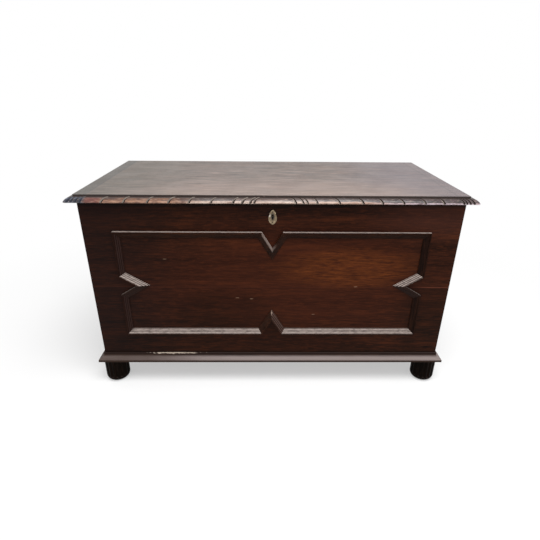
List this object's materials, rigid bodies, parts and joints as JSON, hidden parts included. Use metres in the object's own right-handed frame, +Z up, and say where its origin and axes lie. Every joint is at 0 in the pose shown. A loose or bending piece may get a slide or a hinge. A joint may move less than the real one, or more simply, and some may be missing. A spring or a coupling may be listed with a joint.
{
  "type": "coffer chest",
  "caption": "Boarded blanket chest with an overhanging carved-edge lid on hinges, a geometric front moulding, a link lock, a moulded plinth and reeded feet.",
  "frame": {"origin": "on the floor, under the middle of the whole chest's bounding box", "axes": "+X to the right of the front, +Y to the back where the hinges are, +Z up"},
  "size_m": [1.047, 0.5008, 0.5833],
  "materials": {
    "carcass_wood": "dark polished mahogany",
    "lid_wood": "worn satin polish",
    "lid_edge_wood": "worn polish over carving",
    "moulding_wood": "dark polish, worn on the reeds",
    "plinth_wood": "dark polish",
    "foot_wood": "near-black stain",
    "inner_wood": "bare softwood",
    "escutcheon_brass": "aged",
    "hinge_brass": "tarnished",
    "lock_brass": "tarnished"
  },
  "bodies": {
    "carcass": {"back_board_lower": "carcass_wood", "back_board_upper": "carcass_wood", "bottom_board_back": "inner_wood", "bottom_board_front": "inner_wood", "bottom_board_middle": "inner_wood", "escutcheon": "escutcheon_brass", "foot_back_left": "foot_wood", "foot_back_right": "foot_wood", "foot_front_left": "foot_wood", "foot_front_right": "foot_wood", "front_board_lower": "carcass_wood", "front_board_upper": "carcass_wood", "hinge_left_leaf_carcass": "hinge_brass", "hinge_left_pin": "hinge_brass", "hinge_right_leaf_carcass": "hinge_brass", "hinge_right_pin": "hinge_brass", "hinge_screws_carcass": "hinge_brass", "lock_cap": "lock_brass", "lock_case": "lock_brass", "moulding_bottom_left": "moulding_wood", "moulding_bottom_right": "moulding_wood", "moulding_left_lower": "moulding_wood", "moulding_left_upper": "moulding_wood", "moulding_right_lower": "moulding_wood", "moulding_right_upper": "moulding_wood", "moulding_top_left": "moulding_wood", "moulding_top_right": "moulding_wood", "notch_bottom_left": "moulding_wood", "notch_bottom_right": "moulding_wood", "notch_left_lower": "moulding_wood", "notch_left_upper": "moulding_wood", "notch_right_lower": "moulding_wood", "notch_right_upper": "moulding_wood", "notch_top_left": "moulding_wood", "notch_top_right": "moulding_wood", "plinth_back": "plinth_wood", "plinth_front": "plinth_wood", "plinth_left": "plinth_wood", "plinth_right": "plinth_wood", "side_left_lower": "carcass_wood", "side_left_upper": "carcass_wood", "side_right_lower": "carcass_wood", "side_right_upper": "carcass_wood"},
    "lid": {"hinge_left_leaf_lid": "hinge_brass", "hinge_right_leaf_lid": "hinge_brass", "hinge_screws_lid": "hinge_brass", "lid_board_back": "lid_wood", "lid_board_front": "lid_wood", "lid_board_middle": "lid_wood", "lid_edge_front": "lid_edge_wood", "lid_edge_left": "lid_edge_wood", "lid_edge_right": "lid_edge_wood", "link_plate": "lock_brass"},
    "bolt": {"lock_bolt": "lock_brass"}
  },
  "joints": [
    {"name": "lid_hinge", "type": "hinge", "parent": "carcass", "child": "lid", "pos_m": [0, 0.2469, 0.56515], "axis": [-1, 0, 0], "range_deg": [0, 100]},
    {"name": "bolt_slide", "type": "slide", "parent": "carcass", "child": "bolt", "axis": [1, 0, 0], "range_m": [0, 0.008]}
  ]
}
